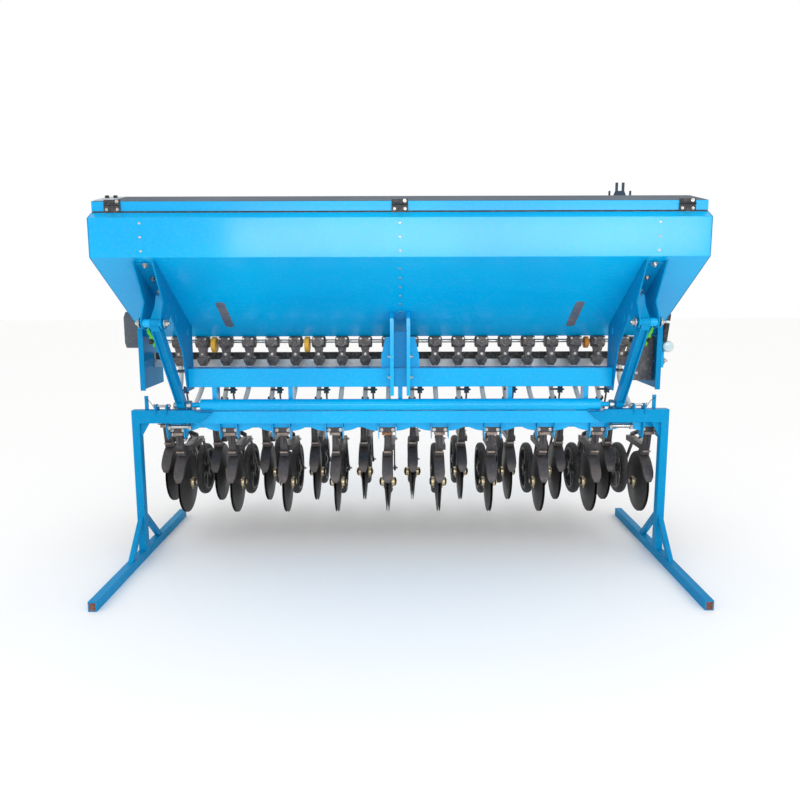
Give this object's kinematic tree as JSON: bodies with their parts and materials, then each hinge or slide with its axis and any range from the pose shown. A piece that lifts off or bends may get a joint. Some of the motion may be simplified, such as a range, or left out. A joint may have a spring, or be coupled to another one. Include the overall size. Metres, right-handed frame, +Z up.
{
  "type": "mounted seed drill on a parking stand",
  "caption": "Mounted seed drill: hinged-lid hopper, metering housings, hoses to staggered double-disc coulters with press wheels, on two floor stands.",
  "frame": {"origin": "on the floor, at the middle of the machine's box", "axes": "+X across the machine, to the right as seen from the tractor side looking back; +Y from the tractor side to the rear; +Z up"},
  "size_m": [3.2, 1.708, 2.15],
  "materials": {
    "blue_paint": "gloss",
    "lid_paint": "gloss",
    "cast_iron": "satin",
    "coulter_steel": "satin",
    "disc_steel": "satin",
    "tyre_rubber": "matte",
    "hose_plastic": "satin",
    "zinc_sheet": "satin",
    "black_plastic": "satin"
  },
  "bodies": {
    "root": {"stand_left": "blue_paint", "stand_right": "blue_paint", "toolbar": "blue_paint", "upper_beam": "blue_paint", "hopper": "blue_paint", "hopper_side_left": "blue_paint", "hopper_side_right": "blue_paint", "link_bracket_left": "blue_paint", "link_bracket_right": "blue_paint", "strut_left": "blue_paint", "strut_right": "blue_paint", "headstock": "blue_paint", "metering_row": "cast_iron", "seed_tray": "zinc_sheet", "seed_hoses": "hose_plastic", "coulters_front": "coulter_steel", "coulters_rear": "coulter_steel", "drive_gearbox": "black_plastic", "chain_case": "black_plastic"},
    "lid": {"lid": "lid_paint"},
    "disc_01": {"disc_01": "disc_steel"},
    "disc_02": {"disc_02": "disc_steel"},
    "disc_03": {"disc_03": "disc_steel"},
    "disc_04": {"disc_04": "disc_steel"},
    "disc_05": {"disc_05": "disc_steel"},
    "disc_06": {"disc_06": "disc_steel"},
    "disc_07": {"disc_07": "disc_steel"},
    "disc_08": {"disc_08": "disc_steel"},
    "disc_09": {"disc_09": "disc_steel"},
    "disc_10": {"disc_10": "disc_steel"},
    "disc_11": {"disc_11": "disc_steel"},
    "disc_12": {"disc_12": "disc_steel"},
    "disc_13": {"disc_13": "disc_steel"},
    "disc_14": {"disc_14": "disc_steel"},
    "disc_15": {"disc_15": "disc_steel"},
    "disc_16": {"disc_16": "disc_steel"},
    "disc_17": {"disc_17": "disc_steel"},
    "disc_18": {"disc_18": "disc_steel"},
    "disc_19": {"disc_19": "disc_steel"},
    "disc_20": {"disc_20": "disc_steel"},
    "press_wheel_01": {"press_wheel_01": "tyre_rubber"},
    "press_wheel_02": {"press_wheel_02": "tyre_rubber"},
    "press_wheel_03": {"press_wheel_03": "tyre_rubber"},
    "press_wheel_04": {"press_wheel_04": "tyre_rubber"},
    "press_wheel_05": {"press_wheel_05": "tyre_rubber"},
    "press_wheel_06": {"press_wheel_06": "tyre_rubber"},
    "press_wheel_07": {"press_wheel_07": "tyre_rubber"},
    "press_wheel_08": {"press_wheel_08": "tyre_rubber"},
    "press_wheel_09": {"press_wheel_09": "tyre_rubber"},
    "press_wheel_10": {"press_wheel_10": "tyre_rubber"},
    "press_wheel_11": {"press_wheel_11": "tyre_rubber"},
    "press_wheel_12": {"press_wheel_12": "tyre_rubber"},
    "press_wheel_13": {"press_wheel_13": "tyre_rubber"},
    "press_wheel_14": {"press_wheel_14": "tyre_rubber"},
    "press_wheel_15": {"press_wheel_15": "tyre_rubber"},
    "press_wheel_16": {"press_wheel_16": "tyre_rubber"},
    "press_wheel_17": {"press_wheel_17": "tyre_rubber"},
    "press_wheel_18": {"press_wheel_18": "tyre_rubber"},
    "press_wheel_19": {"press_wheel_19": "tyre_rubber"},
    "press_wheel_20": {"press_wheel_20": "tyre_rubber"}
  },
  "joints": [
    {"name": "lid_hinge", "type": "hinge", "parent": "root", "child": "lid", "pos_m": [0, -0.5322, 1.938], "axis": [1, 0, 0], "range_deg": [0, 100]},
    {"name": "disc_01_spin", "type": "hinge", "parent": "root", "child": "disc_01", "pos_m": [-1.425, 0.299, 0.383], "axis": [1, 0, 0], "continuous": true},
    {"name": "disc_02_spin", "type": "hinge", "parent": "root", "child": "disc_02", "pos_m": [-1.275, 0.063, 0.383], "axis": [1, 0, 0], "continuous": true},
    {"name": "disc_03_spin", "type": "hinge", "parent": "root", "child": "disc_03", "pos_m": [-1.125, 0.299, 0.383], "axis": [1, 0, 0], "continuous": true},
    {"name": "disc_04_spin", "type": "hinge", "parent": "root", "child": "disc_04", "pos_m": [-0.975, 0.063, 0.383], "axis": [1, 0, 0], "continuous": true},
    {"name": "disc_05_spin", "type": "hinge", "parent": "root", "child": "disc_05", "pos_m": [-0.825, 0.299, 0.383], "axis": [1, 0, 0], "continuous": true},
    {"name": "disc_06_spin", "type": "hinge", "parent": "root", "child": "disc_06", "pos_m": [-0.675, 0.063, 0.383], "axis": [1, 0, 0], "continuous": true},
    {"name": "disc_07_spin", "type": "hinge", "parent": "root", "child": "disc_07", "pos_m": [-0.525, 0.299, 0.383], "axis": [1, 0, 0], "continuous": true},
    {"name": "disc_08_spin", "type": "hinge", "parent": "root", "child": "disc_08", "pos_m": [-0.375, 0.063, 0.383], "axis": [1, 0, 0], "continuous": true},
    {"name": "disc_09_spin", "type": "hinge", "parent": "root", "child": "disc_09", "pos_m": [-0.225, 0.299, 0.383], "axis": [1, 0, 0], "continuous": true},
    {"name": "disc_10_spin", "type": "hinge", "parent": "root", "child": "disc_10", "pos_m": [-0.075, 0.063, 0.383], "axis": [1, 0, 0], "continuous": true},
    {"name": "disc_11_spin", "type": "hinge", "parent": "root", "child": "disc_11", "pos_m": [0.075, 0.299, 0.383], "axis": [1, 0, 0], "continuous": true},
    {"name": "disc_12_spin", "type": "hinge", "parent": "root", "child": "disc_12", "pos_m": [0.225, 0.063, 0.383], "axis": [1, 0, 0], "continuous": true},
    {"name": "disc_13_spin", "type": "hinge", "parent": "root", "child": "disc_13", "pos_m": [0.375, 0.299, 0.383], "axis": [1, 0, 0], "continuous": true},
    {"name": "disc_14_spin", "type": "hinge", "parent": "root", "child": "disc_14", "pos_m": [0.525, 0.063, 0.383], "axis": [1, 0, 0], "continuous": true},
    {"name": "disc_15_spin", "type": "hinge", "parent": "root", "child": "disc_15", "pos_m": [0.675, 0.299, 0.383], "axis": [1, 0, 0], "continuous": true},
    {"name": "disc_16_spin", "type": "hinge", "parent": "root", "child": "disc_16", "pos_m": [0.825, 0.063, 0.383], "axis": [1, 0, 0], "continuous": true},
    {"name": "disc_17_spin", "type": "hinge", "parent": "root", "child": "disc_17", "pos_m": [0.975, 0.299, 0.383], "axis": [1, 0, 0], "continuous": true},
    {"name": "disc_18_spin", "type": "hinge", "parent": "root", "child": "disc_18", "pos_m": [1.125, 0.063, 0.383], "axis": [1, 0, 0], "continuous": true},
    {"name": "disc_19_spin", "type": "hinge", "parent": "root", "child": "disc_19", "pos_m": [1.275, 0.299, 0.383], "axis": [1, 0, 0], "continuous": true},
    {"name": "disc_20_spin", "type": "hinge", "parent": "root", "child": "disc_20", "pos_m": [1.425, 0.063, 0.383], "axis": [1, 0, 0], "continuous": true},
    {"name": "press_wheel_01_spin", "type": "hinge", "parent": "root", "child": "press_wheel_01", "pos_m": [-1.425, 0.689, 0.365], "axis": [1, 0, 0], "continuous": true},
    {"name": "press_wheel_02_spin", "type": "hinge", "parent": "root", "child": "press_wheel_02", "pos_m": [-1.275, 0.453, 0.365], "axis": [1, 0, 0], "continuous": true},
    {"name": "press_wheel_03_spin", "type": "hinge", "parent": "root", "child": "press_wheel_03", "pos_m": [-1.125, 0.689, 0.365], "axis": [1, 0, 0], "continuous": true},
    {"name": "press_wheel_04_spin", "type": "hinge", "parent": "root", "child": "press_wheel_04", "pos_m": [-0.975, 0.453, 0.365], "axis": [1, 0, 0], "continuous": true},
    {"name": "press_wheel_05_spin", "type": "hinge", "parent": "root", "child": "press_wheel_05", "pos_m": [-0.825, 0.689, 0.365], "axis": [1, 0, 0], "continuous": true},
    {"name": "press_wheel_06_spin", "type": "hinge", "parent": "root", "child": "press_wheel_06", "pos_m": [-0.675, 0.453, 0.365], "axis": [1, 0, 0], "continuous": true},
    {"name": "press_wheel_07_spin", "type": "hinge", "parent": "root", "child": "press_wheel_07", "pos_m": [-0.525, 0.689, 0.365], "axis": [1, 0, 0], "continuous": true},
    {"name": "press_wheel_08_spin", "type": "hinge", "parent": "root", "child": "press_wheel_08", "pos_m": [-0.375, 0.453, 0.365], "axis": [1, 0, 0], "continuous": true},
    {"name": "press_wheel_09_spin", "type": "hinge", "parent": "root", "child": "press_wheel_09", "pos_m": [-0.225, 0.689, 0.365], "axis": [1, 0, 0], "continuous": true},
    {"name": "press_wheel_10_spin", "type": "hinge", "parent": "root", "child": "press_wheel_10", "pos_m": [-0.075, 0.453, 0.365], "axis": [1, 0, 0], "continuous": true},
    {"name": "press_wheel_11_spin", "type": "hinge", "parent": "root", "child": "press_wheel_11", "pos_m": [0.075, 0.689, 0.365], "axis": [1, 0, 0], "continuous": true},
    {"name": "press_wheel_12_spin", "type": "hinge", "parent": "root", "child": "press_wheel_12", "pos_m": [0.225, 0.453, 0.365], "axis": [1, 0, 0], "continuous": true},
    {"name": "press_wheel_13_spin", "type": "hinge", "parent": "root", "child": "press_wheel_13", "pos_m": [0.375, 0.689, 0.365], "axis": [1, 0, 0], "continuous": true},
    {"name": "press_wheel_14_spin", "type": "hinge", "parent": "root", "child": "press_wheel_14", "pos_m": [0.525, 0.453, 0.365], "axis": [1, 0, 0], "continuous": true},
    {"name": "press_wheel_15_spin", "type": "hinge", "parent": "root", "child": "press_wheel_15", "pos_m": [0.675, 0.689, 0.365], "axis": [1, 0, 0], "continuous": true},
    {"name": "press_wheel_16_spin", "type": "hinge", "parent": "root", "child": "press_wheel_16", "pos_m": [0.825, 0.453, 0.365], "axis": [1, 0, 0], "continuous": true},
    {"name": "press_wheel_17_spin", "type": "hinge", "parent": "root", "child": "press_wheel_17", "pos_m": [0.975, 0.689, 0.365], "axis": [1, 0, 0], "continuous": true},
    {"name": "press_wheel_18_spin", "type": "hinge", "parent": "root", "child": "press_wheel_18", "pos_m": [1.125, 0.453, 0.365], "axis": [1, 0, 0], "continuous": true},
    {"name": "press_wheel_19_spin", "type": "hinge", "parent": "root", "child": "press_wheel_19", "pos_m": [1.275, 0.689, 0.365], "axis": [1, 0, 0], "continuous": true},
    {"name": "press_wheel_20_spin", "type": "hinge", "parent": "root", "child": "press_wheel_20", "pos_m": [1.425, 0.453, 0.365], "axis": [1, 0, 0], "continuous": true}
  ]
}
